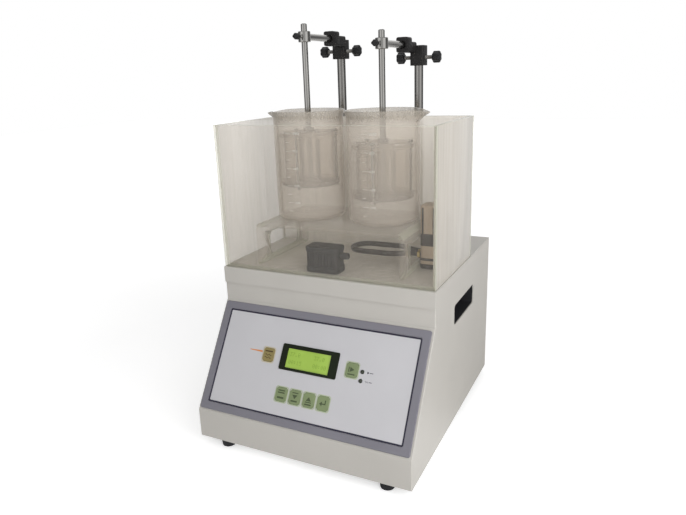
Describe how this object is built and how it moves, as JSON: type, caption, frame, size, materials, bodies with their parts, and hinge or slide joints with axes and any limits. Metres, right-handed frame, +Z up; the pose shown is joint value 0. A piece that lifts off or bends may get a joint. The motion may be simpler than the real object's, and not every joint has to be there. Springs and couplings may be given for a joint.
{
  "type": "tablet disintegration tester",
  "caption": "Bench tester with a sloping control panel, a clear water tank holding beakers, and tube baskets that hang from rods which rise and fall in turn.",
  "frame": {"origin": "centre of the footprint, on the bench surface under the feet", "axes": "+Z up, -Y towards the user at the sloping panel, +X to the user's right"},
  "size_m": [0.34, 0.3991, 0.6073],
  "materials": {
    "cabinet_paint": "cream-grey powder coat, slightly textured",
    "plated_sheet": "zinc-plated sheet steel",
    "foot_rubber": "matt black rubber",
    "black_moulding": "black moulded plastic",
    "bezel_plastic": "grey-lavender plastic frame",
    "overlay_film": "pale lavender-grey printed film",
    "lcd_frame": "black display frame",
    "lcd_backlight": "yellow-green backlit display",
    "led_lens": "dark lens of an unlit indicator",
    "key_green": "olive green membrane key",
    "key_yellow": "ochre membrane key",
    "circuit_board": "green circuit board",
    "transformer_core": "varnished laminations with a taped winding",
    "motor_paint": "dark painted motor and gearbox",
    "polished_steel": "polished stainless steel",
    "woven_mesh": "woven stainless wire cloth",
    "yoke_brass": "machined brass",
    "guide_bronze": "sintered bronze",
    "clear_acrylic": "clear acrylic with polished edges",
    "basket_plate": "clear machined acrylic discs",
    "borosilicate_glass": "clear borosilicate glass",
    "head_casting": "black anodised block",
    "knob_black": "black knob on a steel screw",
    "heater_housing": "brown moulded riser with a dark sheathed element"
  },
  "bodies": {
    "root": {"cabinet_shell": "cabinet_paint", "top_cover": "cabinet_paint", "rear_panel": "cabinet_paint", "base_plate": "plated_sheet", "drive_bracket": "plated_sheet", "front_left_foot": "foot_rubber", "front_right_foot": "foot_rubber", "rear_left_foot": "foot_rubber", "rear_right_foot": "foot_rubber", "left_hand_grip": "black_moulding", "right_hand_grip": "black_moulding", "power_inlet": "black_moulding", "circulation_pump": "black_moulding", "panel_bezel": "bezel_plastic", "panel_overlay": "overlay_film", "lcd_bezel": "lcd_frame", "lcd_module": "lcd_backlight", "run_led": "led_lens", "heater_led": "led_lens", "control_board": "circuit_board", "power_transformer": "transformer_core", "gear_motor": "motor_paint", "temperature_probe": "polished_steel", "left_guide_bush": "guide_bronze", "right_guide_bush": "guide_bronze", "water_tank": "clear_acrylic", "beaker_shelf": "clear_acrylic", "left_beaker": "borosilicate_glass", "right_beaker": "borosilicate_glass", "tank_heater": "heater_housing"},
    "left_drive": {"left_drive_rod": "polished_steel", "left_yoke": "yoke_brass"},
    "left_head": {"left_boss_head": "head_casting", "left_arm": "polished_steel"},
    "left_basket": {"left_basket_rod": "polished_steel", "left_upper_plate": "basket_plate", "left_tube_rack": "borosilicate_glass", "left_mesh": "woven_mesh"},
    "left_inner_screw": {"left_inner_thumbscrew": "knob_black"},
    "left_outer_screw": {"left_outer_thumbscrew": "knob_black"},
    "left_arm_clamp": {"left_arm_screw": "knob_black"},
    "right_drive": {"right_drive_rod": "polished_steel", "right_yoke": "yoke_brass"},
    "right_head": {"right_boss_head": "head_casting", "right_arm": "polished_steel"},
    "right_basket": {"right_basket_rod": "polished_steel", "right_upper_plate": "basket_plate", "right_tube_rack": "borosilicate_glass", "right_mesh": "woven_mesh"},
    "right_inner_screw": {"right_inner_thumbscrew": "knob_black"},
    "right_outer_screw": {"right_outer_thumbscrew": "knob_black"},
    "right_arm_clamp": {"right_arm_screw": "knob_black"},
    "crank": {"crankshaft": "polished_steel"},
    "menu_key_pad": {"menu_key": "key_green"},
    "down_key_pad": {"down_key": "key_green"},
    "up_key_pad": {"up_key": "key_green"},
    "enter_key_pad": {"enter_key": "key_green"},
    "run_key_pad": {"run_key": "key_green"},
    "heater_key_pad": {"heater_key": "key_yellow"},
    "rocker": {"power_rocker": "black_moulding"}
  },
  "joints": [
    {"name": "left_stroke", "type": "slide", "parent": "root", "child": "left_drive", "axis": [0, 0, 1], "range_m": [-0.035, 0.02]},
    {"name": "left_head_lift", "type": "slide", "parent": "left_drive", "child": "left_head", "axis": [0, 0, 1], "range_m": [0, 0.19]},
    {"name": "left_basket_height", "type": "slide", "parent": "left_head", "child": "left_basket", "axis": [0, 0, 1], "range_m": [-0.004, 0.08]},
    {"name": "left_inner_screw_turn", "type": "hinge", "parent": "left_head", "child": "left_inner_screw", "pos_m": [-0.0675, 0.12028, 0.57133], "axis": [1, 0, 0], "continuous": true},
    {"name": "left_outer_screw_turn", "type": "hinge", "parent": "left_head", "child": "left_outer_screw", "pos_m": [-0.0675, 0.12028, 0.57133], "axis": [1, 0, 0], "continuous": true},
    {"name": "left_arm_clamp_turn", "type": "hinge", "parent": "left_head", "child": "left_arm_clamp", "pos_m": [-0.0605, -0.01372, 0.58933], "axis": [0, 1, 0], "continuous": true},
    {"name": "right_stroke", "type": "slide", "parent": "root", "child": "right_drive", "axis": [0, 0, 1], "range_m": [-0.02, 0.035]},
    {"name": "right_head_lift", "type": "slide", "parent": "right_drive", "child": "right_head", "axis": [0, 0, 1], "range_m": [0, 0.19]},
    {"name": "right_basket_height", "type": "slide", "parent": "right_head", "child": "right_basket", "axis": [0, 0, 1], "range_m": [-0.004, 0.08]},
    {"name": "right_inner_screw_turn", "type": "hinge", "parent": "right_head", "child": "right_inner_screw", "pos_m": [0.0675, 0.12028, 0.55633], "axis": [1, 0, 0], "continuous": true},
    {"name": "right_outer_screw_turn", "type": "hinge", "parent": "right_head", "child": "right_outer_screw", "pos_m": [0.0675, 0.12028, 0.55633], "axis": [1, 0, 0], "continuous": true},
    {"name": "right_arm_clamp_turn", "type": "hinge", "parent": "right_head", "child": "right_arm_clamp", "pos_m": [0.0605, -0.01372, 0.57433], "axis": [0, 1, 0], "continuous": true},
    {"name": "crank_turn", "type": "hinge", "parent": "root", "child": "crank", "pos_m": [0, 0.12028, 0.154], "axis": [1, 0, 0], "continuous": true},
    {"name": "menu_key_press", "type": "slide", "parent": "root", "child": "menu_key_pad", "axis": [0, 0.8406, -0.5417], "range_m": [0, 0.0006], "stiffness_N_per_m": 1500, "springref_m": -0.0003},
    {"name": "down_key_press", "type": "slide", "parent": "root", "child": "down_key_pad", "axis": [0, 0.8406, -0.5417], "range_m": [0, 0.0006], "stiffness_N_per_m": 1500, "springref_m": -0.0003},
    {"name": "up_key_press", "type": "slide", "parent": "root", "child": "up_key_pad", "axis": [0, 0.8406, -0.5417], "range_m": [0, 0.0006], "stiffness_N_per_m": 1500, "springref_m": -0.0003},
    {"name": "enter_key_press", "type": "slide", "parent": "root", "child": "enter_key_pad", "axis": [0, 0.8406, -0.5417], "range_m": [0, 0.0006], "stiffness_N_per_m": 1500, "springref_m": -0.0003},
    {"name": "run_key_press", "type": "slide", "parent": "root", "child": "run_key_pad", "axis": [0, 0.8406, -0.5417], "range_m": [0, 0.0006], "stiffness_N_per_m": 1500, "springref_m": -0.0003},
    {"name": "heater_key_press", "type": "slide", "parent": "root", "child": "heater_key_pad", "axis": [0, 0.8406, -0.5417], "range_m": [0, 0.0006], "stiffness_N_per_m": 1500, "springref_m": -0.0003},
    {"name": "rocker_tilt", "type": "hinge", "parent": "root", "child": "rocker", "pos_m": [-0.105, 0.19708, 0.109], "axis": [1, 0, 0], "range_deg": [0, 14]}
  ],
  "couplings": [
    {"joint": "right_stroke", "follows": "left_stroke", "ratio": -1}
  ]
}
